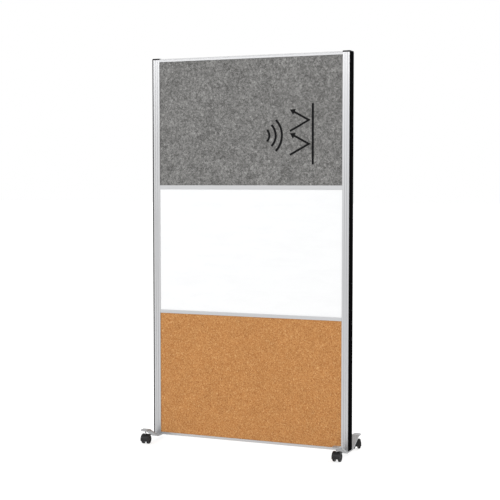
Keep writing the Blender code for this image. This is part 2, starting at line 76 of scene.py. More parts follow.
# ------------------------------------------------------------ material tools
class Tree:
    """A short way to write a material's node tree."""

    def __init__(self, name):
        self.material = bpy.data.materials.new(name)
        self.material.use_nodes = True
        self.nt = self.material.node_tree
        self.nt.nodes.clear()
        self.out = self.nt.nodes.new("ShaderNodeOutputMaterial")
        self.bsdf = self.nt.nodes.new("ShaderNodeBsdfPrincipled")
        self.link(self.bsdf.outputs[0], self.out.inputs["Surface"])
        self.coord = self.nt.nodes.new("ShaderNodeTexCoord").outputs["Object"]

    def link(self, a, b):
        self.nt.links.new(a, b)

    def put(self, value, socket):
        if isinstance(value, bpy.types.NodeSocket):
            self.link(value, socket)
        elif value is not None:
            socket.default_value = value

    def set(self, **values):
        for key, value in values.items():
            self.put(value, self.bsdf.inputs[key.replace("_", " ")])

    def mapping(self, scale=(1, 1, 1), rotation=(0, 0, 0), vector=None):
        n = self.nt.nodes.new("ShaderNodeMapping")
        self.link(vector or self.coord, n.inputs["Vector"])
        n.inputs["Scale"].default_value = scale
        n.inputs["Rotation"].default_value = rotation
        return n.outputs[0]

    def noise(self, scale, detail=3.0, rough=0.55, distortion=0.0, vector=None, colour=False):
        n = self.nt.nodes.new("ShaderNodeTexNoise")
        self.link(vector or self.coord, n.inputs["Vector"])
        n.inputs["Scale"].default_value = scale
        n.inputs["Detail"].default_value = detail
        n.inputs["Roughness"].default_value = rough
        n.inputs["Distortion"].default_value = distortion
        return n.outputs["Color" if colour else "Fac"]

    def voronoi(self, scale, feature="F1", vector=None, output="Distance", randomness=1.0):
        n = self.nt.nodes.new("ShaderNodeTexVoronoi")
        n.feature = feature
        self.link(vector or self.coord, n.inputs["Vector"])
        n.inputs["Scale"].default_value = scale
        n.inputs["Randomness"].default_value = randomness
        return n.outputs[output]

    def ramp(self, fac, stops, interpolation="LINEAR"):
        n = self.nt.nodes.new("ShaderNodeValToRGB")
        n.color_ramp.interpolation = interpolation
        elements = n.color_ramp.elements
        while len(elements) < len(stops):
            elements.new(0.5)
        for e, (at, value) in zip(elements, stops):
            e.position = at
            e.color = (*value, 1.0) if hasattr(value, "__len__") else (value, value, value, 1.0)
        self.link(fac, n.inputs[0])
        return n.outputs[0]

    def mix(self, a, b, fac, mode="MIX"):
        n = self.nt.nodes.new("ShaderNodeMix")
        n.data_type = "RGBA"
        n.blend_type = mode
        n.clamp_factor = True
        self.put(fac, n.inputs[0])
        for value, socket in ((a, n.inputs[6]), (b, n.inputs[7])):
            if isinstance(value, bpy.types.NodeSocket):
                self.link(value, socket)
            else:
                socket.default_value = (*value, 1.0) if hasattr(value, "__len__") else (value, value, value, 1.0)
        return n.outputs[2]

    def math(self, op, a, b=0.0, clamp=False):
        n = self.nt.nodes.new("ShaderNodeMath")
        n.operation = op
        n.use_clamp = clamp
        self.put(a, n.inputs[0])
        self.put(b, n.inputs[1])
        return n.outputs[0]

    def between(self, fac, lo, hi):
        """fac 0..1 moved to lo..hi."""
        n = self.nt.nodes.new("ShaderNodeMapRange")
        self.link(fac, n.inputs[0])
        n.inputs[3].default_value = lo
        n.inputs[4].default_value = hi
        return n.outputs[0]

    def warp(self, scale, amount):
        """The coordinates, pushed about by a noise, amount in metres."""
        colour = self.noise(scale, 2.0, colour=True)
        sub = self.nt.nodes.new("ShaderNodeVectorMath")
        sub.operation = "SUBTRACT"
        self.link(colour, sub.inputs[0])
        sub.inputs[1].default_value = (0.5, 0.5, 0.5)
        mul = self.nt.nodes.new("ShaderNodeVectorMath")
        mul.operation = "SCALE"
        self.link(sub.outputs[0], mul.inputs[0])
        mul.inputs["Scale"].default_value = amount
        add = self.nt.nodes.new("ShaderNodeVectorMath")
        add.operation = "ADD"
        self.link(self.coord, add.inputs[0])
        self.link(mul.outputs[0], add.inputs[1])
        return add.outputs[0]

    def bump(self, height, strength, distance, normal=None):
        n = self.nt.nodes.new("ShaderNodeBump")
        n.inputs["Strength"].default_value = strength
        n.inputs["Distance"].default_value = distance
        self.link(height, n.inputs["Height"])
        if normal is not None:
            self.link(normal, n.inputs["Normal"])
        return n.outputs[0]


def aluminium(name, along, shade=1.0):
    """Satin anodised extrusion: fine draw lines along its length, faint mottling of the oxide; shade below 1 darkens
    the whole copy as painted shade.
    """
    t = Tree(name)
    fine = {"x": (3, 1500, 1500), "z": (1500, 1500, 3)}[along]
    broad = {"x": (1.2, 260, 260), "z": (260, 260, 1.2)}[along]
    lines = t.noise(1.0, 3.0, 0.6, vector=t.mapping(fine))
    bands = t.noise(1.0, 2.0, 0.5, vector=t.mapping(broad))
    cloud = t.noise(9.0, 3.0)
    dark, light, oxide = (tuple(shade * c for c in tone) for tone in ((0.470, 0.472, 0.480), (0.545, 0.547, 0.555), (0.500, 0.504, 0.516)))
    tone = t.mix(dark, light, bands)
    tone = t.mix(tone, oxide, t.between(cloud, 0.0, 0.5))
    t.set(Base_Color=t.mix(tone, t.ramp(lines, ((0.3, 0.90), (0.7, 1.0))), 0.6, "MULTIPLY"))
    t.set(Metallic=1.0, Roughness=t.between(t.math("MULTIPLY", lines, cloud), 0.30, 0.52))
    t.set(Normal=t.bump(lines, 0.16, 0.00003, t.bump(bands, 0.10, 0.00004)))
    return t.material


def felt(name):
    """Pressed melange felt: blended grey fibres, mottled at about 7 mm, with light and dark hairs."""
    t = Tree(name)
    where = t.warp(60.0, 0.010)
    clumps = t.noise(125.0, 4.0, 0.60, 0.9, vector=where)
    blotch = t.noise(34.0, 3.0, 0.6, 1.2, vector=where)
    cloud = t.noise(7.0, 2.0)
    tone = t.ramp(clumps, ((0.32, (0.062, 0.061, 0.058)), (0.50, (0.138, 0.136, 0.132)), (0.68, (0.262, 0.259, 0.252))))
    tone = t.mix(tone, t.ramp(blotch, ((0.28, 0.66), (0.5, 1.0), (0.74, 1.34))), 0.95, "MULTIPLY")
    tone = t.mix(tone, t.ramp(cloud, ((0.3, 0.93), (0.7, 1.05))), 1.0, "MULTIPLY")
    curl = t.warp(240.0, 0.0045)
    hair_a = t.noise(1.0, 2.0, 0.5, vector=t.mapping((2600, 2600, 260), (0, 0.5, 0), curl))
    hair_b = t.noise(1.0, 2.0, 0.5, vector=t.mapping((260, 2600, 2600), (0, 0.35, 0), curl))
    hairs = t.math("MAXIMUM", hair_a, hair_b)
    light = t.ramp(hairs, ((0.62, 0.0), (0.72, 1.0)))
    dark = t.ramp(t.math("MINIMUM", hair_a, hair_b), ((0.28, 1.0), (0.38, 0.0)))
    tone = t.mix(tone, (0.46, 0.455, 0.445), t.math("MULTIPLY", light, 0.62))
    tone = t.mix(tone, (0.030, 0.030, 0.029), t.math("MULTIPLY", dark, 0.50))
    t.set(Base_Color=tone, Roughness=0.95, Specular_IOR_Level=0.12, Sheen_Weight=0.10, Sheen_Roughness=0.6)
    pile = t.bump(hairs, 0.55, 0.0005)
    t.set(Normal=t.bump(clumps, 0.45, 0.0009, pile))
    return t.material


def cork(name):
    """Pressed cork granulate: ragged grains of 1 to 5 mm in warm browns, dark bark specks, fine pores."""
    t = Tree(name)
    where = t.warp(520.0, 0.0042)
    wider = t.warp(260.0, 0.0070)
    fine = t.nt.nodes.new("ShaderNodeSeparateColor")
    t.link(t.voronoi(380.0, output="Color", vector=where), fine.inputs[0])
    coarse = t.nt.nodes.new("ShaderNodeSeparateColor")
    t.link(t.voronoi(215.0, output="Color", vector=wider), coarse.inputs[0])
    choose = t.ramp(t.noise(130.0, 2.0, 0.6), ((0.42, 0.0), (0.58, 1.0)))
    pick = t.mix(fine.outputs[0], coarse.outputs[1], choose)
    tone = t.ramp(pick, ((0.0, (0.270, 0.098, 0.028)), (0.22, (0.380, 0.162, 0.050)), (0.60, (0.445, 0.204, 0.066)), (0.86, (0.515, 0.262, 0.094)), (1.0, (0.600, 0.345, 0.150))))
    body = t.noise(620.0, 4.0, 0.7, 0.5)
    tone = t.mix(tone, t.ramp(body, ((0.25, 0.80), (0.5, 1.0), (0.75, 1.16))), 0.85, "MULTIPLY")
    drift = t.noise(24.0, 3.0, 0.6)
    tone = t.mix(tone, t.ramp(drift, ((0.3, 0.95), (0.7, 1.04))), 1.0, "MULTIPLY")
    specks = t.ramp(t.noise(330.0, 3.0, 0.65, 0.8, vector=where), ((0.630, 0.0), (0.70, 1.0)))
    tone = t.mix(tone, (0.140, 0.048, 0.016), t.math("MULTIPLY", specks, 0.60))
    pale = t.ramp(t.noise(240.0, 3.0, 0.6, 0.8), ((0.64, 0.0), (0.72, 1.0)))
    tone = t.mix(tone, (0.58, 0.36, 0.16), t.math("MULTIPLY", pale, 0.45))
    seams = t.ramp(t.voronoi(380.0, "DISTANCE_TO_EDGE", where), ((0.0, 0.0), (0.14, 1.0)))
    tone = t.mix(tone, t.between(seams, 0.88, 1.0), 0.7, "MULTIPLY")
    t.set(Base_Color=tone, Roughness=t.between(fine.outputs[1], 0.72, 0.92), Specular_IOR_Level=0.18)
    pores = t.bump(t.noise(1100.0, 3.0, 0.7), 0.30, 0.0003)
    t.set(Normal=t.bump(t.mix(seams, pick, 0.4), 0.30, 0.0004, pores))
    return t.material


def enamel(name):
    """Enamelled steel writing surface: slight orange peel, faint marks left by wiping."""
    t = Tree(name)
    peel = t.noise(210.0, 2.0, 0.5)
    wiped = t.noise(1.0, 3.0, 0.6, 0.6, vector=t.mapping((5.0, 5.0, 26.0), (0, 0.5, 0)))
    dust = t.noise(70.0, 4.0, 0.7)
    tone = t.mix((0.748, 0.753, 0.757), (0.732, 0.737, 0.742), t.ramp(wiped, ((0.45, 0.0), (0.7, 1.0))))
    tone = t.mix(tone, t.ramp(dust, ((0.3, 0.990), (0.7, 1.0))), 1.0, "MULTIPLY")
    t.set(Base_Color=tone, Roughness=t.between(wiped, 0.10, 0.26), Specular_IOR_Level=0.5)
    t.set(Coat_Weight=0.25, Coat_Roughness=0.08, Normal=t.bump(peel, 0.05, 0.0003))
    return t.material


def steel(name, tone_a, tone_b, rough, grain):
    """Zinc-plated steel: small spangle, fine handling scratches."""
    t = Tree(name)
    spangle = t.voronoi(grain, output="Color", vector=t.warp(300.0, 0.002))
    sep = t.nt.nodes.new("ShaderNodeSeparateColor")
    t.link(spangle, sep.inputs[0])
    scratch = t.noise(1.0, 3.0, 0.6, vector=t.mapping((2400, 120, 2400), (0.2, 0, 0.4)))
    cloud = t.noise(40.0, 4.0, 0.65)
    tone = t.mix(tone_a, tone_b, t.between(sep.outputs[0], 0.30, 0.70))
    tone = t.mix(tone, t.ramp(cloud, ((0.3, 0.93), (0.7, 1.04))), 1.0, "MULTIPLY")
    t.set(Base_Color=tone, Metallic=0.80, Roughness=t.between(t.math("MULTIPLY", scratch, cloud), rough - 0.05, rough + 0.22))
    t.set(Normal=t.bump(scratch, 0.14, 0.00004, t.bump(cloud, 0.10, 0.0002)))
    return t.material


def plastic(name, dark, light, rough, specular, grain=900.0, lines=None):
    """Moulded black plastic with a fine eroded texture and rubbed patches."""
    t = Tree(name)
    texture = t.noise(grain, 3.0, 0.6)
    patches = t.noise(45.0, 4.0, 0.65)
    dust = t.noise(260.0, 3.0, 0.75)
    tone = t.mix(dark, light, t.ramp(patches, ((0.35, 0.0), (0.75, 1.0))))
    tone = t.mix(tone, tuple(1.6 * c for c in light), t.math("MULTIPLY", t.ramp(dust, ((0.60, 0.0), (0.80, 1.0))), 0.35))
    t.set(Base_Color=tone, Roughness=t.between(patches, rough - 0.06, rough + 0.14), Specular_IOR_Level=specular)
    normal = t.bump(texture, 0.22, 0.00012)
    if lines:
        normal = t.bump(t.noise(1.0, 2.0, 0.5, vector=t.mapping(lines)), 0.18, 0.00008, normal)
    t.set(Normal=normal)
    return t.material


def board(name):
    """Honeycomb board: paper skin over a hexagonal core."""
    t = Tree(name)
    cells = t.ramp(t.voronoi(75.0, "DISTANCE_TO_EDGE", randomness=0.15), ((0.0, 0.55), (0.08, 1.0)))
    fibres = t.noise(1.0, 4.0, 0.65, vector=t.mapping((900, 900, 140)))
    tone = t.mix((0.330, 0.245, 0.150), (0.440, 0.335, 0.215), fibres)
    t.set(Base_Color=t.mix(tone, cells, 0.6, "MULTIPLY"), Roughness=t.between(fibres, 0.80, 0.95), Specular_IOR_Level=0.2)
    t.set(Normal=t.bump(fibres, 0.2, 0.0002, t.bump(cells, 0.4, 0.0006)))
    return t.material


def ink(name):
    """Dark felt inlay of the pictogram."""
    t = Tree(name)
    clumps = t.noise(260.0, 4.0, 0.65, 0.6)
    hairs = t.noise(1.0, 2.0, 0.5, vector=t.mapping((2400, 2400, 300), (0, 0.6, 0), t.warp(240.0, 0.004)))
    tone = t.mix((0.0045, 0.0045, 0.0050), (0.0140, 0.0140, 0.0145), clumps)
    t.set(Base_Color=t.mix(tone, (0.07, 0.07, 0.07), t.math("MULTIPLY", t.ramp(hairs, ((0.62, 0.0), (0.74, 1.0))), 0.35)))
    t.set(Roughness=0.95, Specular_IOR_Level=0.03, Normal=t.bump(hairs, 0.4, 0.0004))
    return t.material


ALU_Z = aluminium("aluminium_upright", "z")
ALU_X = aluminium("aluminium_cross", "x")
# a darker copy of the cross aluminium for the top rail, painted shade: the top rail is the same metal as the other
# rails
ALU_X_PAINTED_SHADE = aluminium("aluminium_cross_painted_shade", "x", 0.86)
FELT = felt("melange_felt")
CORK = cork("cork_granulate")
ENAMEL = enamel("white_enamel_sheet")
STEEL = steel("zinc_plated_bar", (0.340, 0.344, 0.349), (0.430, 0.435, 0.441), 0.52, 420.0)
BOLT = steel("zinc_plated_fixings", (0.46, 0.46, 0.465), (0.58, 0.58, 0.585), 0.28, 900.0)
STRIP = plastic("black_joining_strip", (0.0010, 0.0010, 0.0012), (0.0019, 0.0019, 0.0022), 0.80, 0.004, lines=(1600, 1600, 6))
CAP = plastic("black_end_cap", (0.0026, 0.0026, 0.0029), (0.0050, 0.0050, 0.0054), 0.70, 0.02)
SHELL = plastic("castor_shell", (0.0095, 0.0095, 0.0100), (0.0160, 0.0160, 0.0167), 0.42, 0.24, 1100.0)
TREAD = plastic("castor_tread", (0.0125, 0.0125, 0.0130), (0.0220, 0.0220, 0.0228), 0.66, 0.16, 700.0)
BOARD = board("honeycomb_board")
INK = ink("dark_inlay")


# ------------------------------------------------------------- piece tools
def clean_copy(node):
    """The node's own shape as a welded mesh of flat polygons."""
    bm = bmesh.new()
    bm.from_mesh(frame["nodes"][node].data)
    bmesh.ops.remove_doubles(bm, verts=bm.verts, dist=3e-6)
    bmesh.ops.dissolve_degenerate(bm, dist=1e-6, edges=bm.edges)
    bmesh.ops.dissolve_limit(bm, angle_limit=math.radians(0.7), use_dissolve_boundaries=False, verts=bm.verts, edges=bm.edges)
    return bm


def soften(bm, width, segments=2, angle=40.0, keep=None):
    """Rounds the edges sharper than angle."""
    limit = math.radians(angle)
    edges = [
        e for e in bm.edges
        if len(e.link_faces) == 2 and e.calc_face_angle(0.0) > limit and (keep is None or keep(e))
    ]
    bmesh.ops.bevel(bm, geom=edges, offset=width, offset_type="OFFSET", segments=segments, profile=0.5, affect="EDGES", clamp_overlap=True)
    bmesh.ops.remove_doubles(bm, verts=bm.verts, dist=1e-6)


def outward(bm):
    """Faces of a closed solid turned to face out."""
    bmesh.ops.recalc_face_normals(bm, faces=bm.faces)
    if bm.calc_volume(signed=True) < 0:
        bmesh.ops.reverse_faces(bm, faces=bm.faces)
    bm.normal_update()


def piece(name, source, body, materials, replaces=(), sharp=34.0, weighted=True):
    """A finished object from a bmesh or mesh in the row frame, riding on body."""
    if isinstance(source, bmesh.types.BMesh):
        mesh = bpy.data.meshes.new(name)
        outward(source)
        source.to_mesh(mesh)
        source.free()
    else:
        mesh = source
    mesh.name = name
    obj = bpy.data.objects.new(name, mesh)
    bpy.context.scene.collection.objects.link(obj)
    for m in materials if isinstance(materials, (list, tuple)) else [materials]:
        mesh.materials.append(m)
    mesh.shade_smooth()
    mesh.set_sharp_from_angle(angle=math.radians(sharp))
    if weighted:
        mod = obj.modifiers.new("weighted", "WEIGHTED_NORMAL")
        mod.keep_sharp = True
        mod.weight = 60
    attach(obj, body)
    if replaces:
        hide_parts(*replaces)
    return obj


def fine(node, material, width, segments=2, angle=40.0, keep=None, sharp=34.0):
    """A node's shape with rounded edges, standing for the node."""
    bm = clean_copy(node)
    if width:
        soften(bm, width, segments, angle, keep)
    return piece(node + "_fine", bm, BODY[node], material, (node,), sharp)


def carry(node, material):
    """The CAD node stays, with a better material."""
    obj = frame["nodes"][node]
    obj.data.materials.clear()
    obj.data.materials.append(material)
    return obj


def lathe(profile, count, phase=0.0):
    """A closed solid turned about x, from (x, radius) points that start and end on the axis."""
    bm = bmesh.new()
    rings = []
    for x, r in profile:
        if r < 1e-9:
            rings.append([bm.verts.new((x, 0, 0))])
        else:
            rings.append([
                bm.verts.new((x, r * math.cos(phase + math.tau * i / count), r * math.sin(phase + math.tau * i / count)))
                for i in range(count)
            ])
    bands = []
    for a, b in zip(rings, rings[1:]):
        band = []
        for i in range(count):
            j = (i + 1) % count
            corners = [a[i % len(a)], a[j % len(a)], b[j % len(b)], b[i % len(b)]]
            unique = []
            for v in corners:
                if v not in unique:
                    unique.append(v)
            if len(unique) > 2:
                band.append(bm.faces.new(unique))
        bands.append(band)
    bmesh.ops.recalc_face_normals(bm, faces=bm.faces)
    return bm, bands


def mesh_of(bm, name="scratch", closed=True):
    mesh = bpy.data.meshes.new(name)
    if closed:
        outward(bm)
    bm.to_mesh(mesh)
    bm.free()
    return mesh


def combine(base, steps):
    """base with each (operation, cutter) done to it by an exact boolean; meshes in, mesh out."""
    scratch = []

    def temp(mesh):
        obj = bpy.data.objects.new("scratch", mesh)
        bpy.context.scene.collection.objects.link(obj)
        scratch.append(obj)
        return obj

    obj = temp(base)
    for operation, cutter in steps:
        mod = obj.modifiers.new("boolean", "BOOLEAN")
        mod.operation = operation
        mod.solver = "EXACT"
        mod.object = temp(cutter)
    bpy.context.view_layer.update()
    dg = bpy.context.evaluated_depsgraph_get()
    mesh = bpy.data.meshes.new_from_object(obj.evaluated_get(dg))
    for o in scratch:
        bpy.data.objects.remove(o)
    return mesh


def placed(mesh, matrix, name):
    copy = mesh.copy()
    copy.transform(matrix)
    copy.name = name
    return copy


def arc(radius, start, end, count, centre=(0.0, 0.0)):
    return [
        (centre[0] + radius * math.cos(math.radians(start + (end - start) * i / count)),
         centre[1] + radius * math.sin(math.radians(start + (end - start) * i / count)))
        for i in range(count + 1)
    ]


# ---------------------------------------------------- frame, strips and feet
for side in ("left", "right"):
    fine("post_" + side, ALU_Z, 0.00028, 2)
    fine("side_strip_" + side, STRIP, 0.00060, 3)
    fine("top_cap_" + side, CAP, 0.00060, 3)
    fine("foot_" + side, STEEL, 0.00085, 3, 50.0)
for rail in ("top_rail", "upper_mid_rail", "lower_mid_rail", "bottom_rail"):
    # the top rail takes the darker copy of the aluminium, painted shade
    fine(rail, ALU_X_PAINTED_SHADE if rail == "top_rail" else ALU_X, 0.00028, 2)


# ------------------------------------------------------------------- fields
def slab(node, material, step, depth, waves, seed):
    """A sheet whose outer face is softly uneven inwards, as pressed sheet is."""
    lo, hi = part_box(node)
    front = hi.y < 0
    outer, inner = (lo.y, hi.y) if front else (hi.y, lo.y)
    inward = 1.0 if front else -1.0
    nx, nz = max(2, round((hi.x - lo.x) / step)), max(2, round((hi.z - lo.z) / step))
    bm = bmesh.new()
    grid = [[bm.verts.new((lo.x + (hi.x - lo.x) * i / nx, outer, lo.z + (hi.z - lo.z) * k / nz)) for i in range(nx + 1)] for k in range(nz + 1)]
    for k in range(nz):
        for i in range(nx):
            bm.faces.new((grid[k][i], grid[k][i + 1], grid[k + 1][i + 1], grid[k + 1][i]))
    rim = [grid[0][i] for i in range(nx)] + [grid[k][nx] for k in range(nz)]
    rim += [grid[nz][i] for i in range(nx, 0, -1)] + [grid[k][0] for k in range(nz, 0, -1)]
    back = [bm.verts.new((v.co.x, inner, v.co.z)) for v in rim]
    for i in range(len(rim)):
        j = (i + 1) % len(rim)
        bm.faces.new((rim[i], back[i], back[j], rim[j]))
    bm.faces.new(back)
    bmesh.ops.recalc_face_normals(bm, faces=bm.faces)
    for row in grid[1:-1]:
        for v in row[1:-1]:
            total = 0.0
            for scale, share in waves:
                total += share * (0.5 + 0.5 * noise.noise(Vector((v.co.x * scale + seed, seed * 1.7, v.co.z * scale))))
            v.co.y += inward * depth * min(1.0, max(0.0, total))
    return piece(node + "_fine", bm, BODY[node], material, (node,), 34.0)


for end, seed in (("front", 3.1), ("back", 11.7)):
    slab("felt_face_" + end, FELT, 0.0070, 0.00034, ((11.0, 0.35), (70.0, 0.65)), seed)
    slab("cork_face_" + end, CORK, 0.0080, 0.00020, ((9.0, 0.4), (60.0, 0.6)), seed + 5.0)
    fine("whiteboard_face_" + end, ENAMEL, 0.0)
for field in ("felt", "whiteboard", "cork"):
    carry(field + "_core", BOARD)


# ---------------------------------------------------------------- pictogram
# a plain sound-absorbing sign: waves, a wall and two bounced arrows
def ribbon(points, width, closed_tip=None):
    """Outline of a stroke along points, in (x, z)."""
    left, right = [], []
    for i, p in enumerate(points):
        p = Vector(p)
        before = (p - Vector(points[i - 1])).normalized() if i else None
        after = (Vector(points[i + 1]) - p).normalized() if i + 1 < len(points) else None
        along = ((before or after) + (after or before)).normalized()
        normal = Vector((-along.y, along.x))
        reach = width / 2 / max(0.5, normal.dot(Vector((-(after or before).y, (after or before).x))))
        left.append(p + normal * reach)
        right.append(p - normal * reach)
    return left + right[::-1]


def inlay(name, outlines, y_out, y_in):
    bm = bmesh.new()
    for outline in outlines:
        face = bm.faces.new([bm.verts.new((p[0], y_in, p[1])) for p in outline])
        made = bmesh.ops.extrude_face_region(bm, geom=[face])
        for v in (g for g in made["geom"] if isinstance(g, bmesh.types.BMVert)):
            v.co.y = y_out
    bmesh.ops.recalc_face_normals(bm, faces=bm.faces)
    return piece(name, bm, BODY["felt_face_front"], INK, (), 34.0, False)


STROKE = 0.0104
Y_OUT, Y_IN = -FACE_Y - 0.0003, -FACE_Y + 0.0012
inlay("sign_bar", [ribbon([(0.3170, 1.3215), (0.3170, 1.5975)], STROKE)], Y_OUT, Y_IN)
for i, r in enumerate((0.036, 0.067, 0.098)):
    inlay(f"sign_wave_{i + 1}", [ribbon(arc(r, -46, 46, 20, (0.0690, 1.4550)), STROKE)], Y_OUT, Y_IN)
for i, up in enumerate((0.0, 0.1080)):
    start, turn, tip = (Vector((x, z + up)) for x, z in ((0.2060, 1.3660), (0.2980, 1.4150), (0.2060, 1.4640)))
    back = (turn - tip).normalized()
    cross = Vector((-back.y, back.x))
    stroke = ribbon([tuple(start), tuple(turn), tuple(tip + back * 0.0250)], STROKE * 0.92)
    n = len(stroke) // 2
    barbs = [tip + back * 0.0250 + cross * 0.0150, tip + back * 0.0250 - cross * 0.0150]
    barbs.sort(key=lambda p: (p - stroke[n - 1]).length)
    inlay(f"sign_arrow_{i + 1}", [stroke[:n] + [barbs[0], tip, barbs[1]] + stroke[n:]], Y_OUT, Y_IN)


# ------------------------------------------------------------------- screws
def cross_screw(head_r, head_h, shank_r, length):
    """A pan-head screw along +x, with a cross recess in the head."""
    profile = [(head_h, 0.0)]
    profile += [(head_h * math.cos(a), head_r * 0.35 + head_r * 0.65 * math.sin(a)) for a in (math.radians(10 * k) for k in range(0, 10))]
    profile += [(0.0, head_r - 0.0002), (0.0, shank_r)]
    x = -0.0012
    while x > -length + 0.0014:
        profile += [(x, shank_r), (x - 0.0004, shank_r - 0.00035), (x - 0.0008, shank_r)]
        x -= 0.0010
    profile += [(-length + 0.0006, shank_r * 0.7), (-length, 0.0)]
    bm, _ = lathe(profile, 36)
    steps = []
    for turn in (0, 1):
        cutter = bmesh.new()
        bmesh.ops.create_cube(cutter, size=1.0)
        for v in cutter.verts:
            deep = v.co.x < 0
            v.co.x = head_h * 0.45 if deep else head_h + 0.002
            v.co.y *= head_r * (0.50 if deep else 1.15)
            v.co.z *= 0.0009 if deep else 0.0013
        if turn:
            bmesh.ops.rotate(cutter, verts=cutter.verts, cent=(0, 0, 0), matrix=Matrix.Rotation(math.pi / 2, 3, "X"))
        steps.append(("DIFFERENCE", mesh_of(cutter)))
    return combine(mesh_of(bm), steps)


screw = cross_screw(0.0048, 0.0030, 0.0023, 0.020)
for side in ("left", "right"):
    for end, turn in (("front", 20), ("back", 75)):
        node = f"foot_screw_{side}_{end}"
        lo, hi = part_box(node)
        head = lo.z + 0.0030
        at = Matrix.Translation(((lo.x + hi.x) / 2, (lo.y + hi.y) / 2, head)) @ Matrix.Rotation(math.pi / 2, 4, "Y") @ Matrix.Rotation(math.radians(turn), 4, "X")
        piece(node + "_fine", placed(screw, at, node), BODY[node], BOLT, (node,), 30.0)
    for rail in ("top", "upper_mid", "lower_mid", "bottom"):
        carry(f"rail_screw_{rail}_{side}", BOLT)


# ------------------------------------------------------------------ castors
def wheel_mesh():
    """A wheel about x with its hub cap at +x: ribbed disc, rounded shoulders, three tread grooves."""
    R, W, IN = WHEEL_R, WHEEL_OUT - 0.0005, WHEEL_IN
    outer = [
        (W - 0.0012, 0.0), (W - 0.00125, 0.0020), (W - 0.0015, 0.0036), (W - 0.0020, 0.0043), (W - 0.0026, 0.0046),
        (W - 0.0026, 0.0056),
        (W - 0.0026, 0.0140), (W - 0.0008, 0.0149), (W - 0.0003, 0.0153), (W, 0.0160), (W, 0.0177),
    ]
    shoulder = [
        (W - 0.0036 + 0.0036 * math.cos(a), R - 0.0036 + 0.0036 * math.sin(a))
        for a in (math.radians(10 * k) for k in range(1, 10))
    ]
    tread = []
    x = W - 0.0044
    for _ in range(3):
        tread += [(x, R), (x - 0.00025, R - 0.00045), (x - 0.00065, R - 0.00045), (x - 0.0009, R)]
        x -= 0.0020
    inner = [
        (IN + 0.0026 - 0.0026 * math.cos(a), R - 0.0024 + 0.0024 * math.sin(a))
        for a in (math.radians(90 - 15 * k) for k in range(0, 7))
    ]
    bore = [(IN, 0.0040), (IN + 0.0004, AXLE_R + 0.0003), (W - 0.0022, AXLE_R + 0.0003), (W - 0.0022, 0.0)]
    profile = outer + shoulder + tread + inner + bore
    bm, bands = lathe(profile, 72)
    disc = bands[5]
    for i in range(0, 72, 9):
        made = bmesh.ops.extrude_face_region(bm, geom=[disc[i]])
        for v in (g for g in made["geom"] if isinstance(g, bmesh.types.BMVert)):
            v.co.x += 0.0013
    # the raised faces' own copies would be left inside
    bmesh.ops.delete(bm, geom=[disc[i] for i in range(0, 72, 9) if disc[i].is_valid], context="FACES_KEEP_BOUNDARY")
    bmesh.ops.recalc_face_normals(bm, faces=bm.faces)
    for f in bm.faces:
        c = f.calc_center_median()
        r = math.hypot(c.y, c.z)
        f.material_index = 1 if r > R - 0.0042 and c.x < W - 0.0004 and c.x > IN + 0.0001 else 0
    return mesh_of(bm, "wheel")


def housing_mesh():
    """Hood, web and stem boss as one moulding about the axle, open towards +y."""
    r, lip = 0.0019, 0.0006
    outer, half = HOOD_R - 0.0001, HOOD_HALF - 0.0001
    section = [(-half + lip, HOOD_INNER_R), (-half, HOOD_INNER_R + lip)]
    section += [(-half + r - r * math.cos(a), outer - r + r * math.sin(a)) for a in (math.radians(15 * k) for k in range(0, 7))]
    ridge = [(-0.0052, outer), (-0.0046, outer), (-0.0042, outer - 0.0005), (0.0042, outer - 0.0005), (0.0046, outer), (0.0052, outer)]
    section += ridge
    section += [(half - r + r * math.sin(a), outer - r + r * math.cos(a)) for a in (math.radians(15 * k) for k in range(0, 7))]
    section += [(half, HOOD_INNER_R + lip), (half - lip, HOOD_INNER_R)]
    steps, start, sweep = 48, 48.0, 146.0
    bm = bmesh.new()
    rings = []
    for k in range(steps + 1):
        a = math.radians(start + sweep * k / steps)
        rings.append([bm.verts.new((x, q * math.cos(a), q * math.sin(a))) for x, q in section])
    for a, b in zip(rings, rings[1:]):
        for i in range(len(section)):
            j = (i + 1) % len(section)
            bm.faces.new((a[i], a[j], b[j], b[i]))
    first, last = bm.faces.new(rings[0]), bm.faces.new(rings[-1][::-1])
    bmesh.ops.recalc_face_normals(bm, faces=bm.faces)
    ends = list({e for f in (first, last) for e in f.edges})
    bmesh.ops.bevel(bm, geom=ends, offset=0.0005, segments=2, profile=0.5, affect="EDGES", clamp_overlap=True)
    hood = mesh_of(bm, "hood")

    bm = bmesh.new()
    outline = arc(HOOD_R - 0.0014, 52, 190, 40) + [(-0.0110, -0.0078), (-0.0070, -0.0071), (-0.0035, -0.0068), (0.0010, -0.0064), (0.0050, -0.0058), (0.0075, -0.0040), (0.0090, -0.0010)]
    face = bm.faces.new([bm.verts.new((-WEB_HALF, y, z)) for y, z in outline])
    made = bmesh.ops.extrude_face_region(bm, geom=[face])
    for v in (g for g in made["geom"] if isinstance(g, bmesh.types.BMVert)):
        v.co.x = WEB_HALF
    bmesh.ops.recalc_face_normals(bm, faces=bm.faces)
    web = mesh_of(bm, "web")

    def rod(radius, start, end, count, axis, rounding=0.0):
        profile = [(start, 0.0), (start, radius - rounding)] + ([(start + rounding, radius)] if rounding else [])
        profile += ([(end - rounding, radius)] if rounding else []) + [(end, radius - rounding), (end, 0.0)]
        bm, _ = lathe(profile, count)
        mesh = mesh_of(bm)
        if axis == "z":
            mesh.transform(Matrix.Rotation(-math.pi / 2, 4, "Y"))
            mesh.transform(Matrix.Translation((0.0, -TRAIL, -WHEEL_R)))
        return mesh

    boss = rod(WEB_HALF - 0.00015, 0.0277, BOSS_TOP, 48, "z", 0.0006)
    pin = rod(PIN_R + 0.0003, 0.0290, 0.060, 40, "z")
    axle = rod(AXLE_R + 0.0003, -0.030, 0.030, 32, "x")
    return combine(hood, [("UNION", web), ("UNION", boss), ("DIFFERENCE", axle), ("DIFFERENCE", pin)])


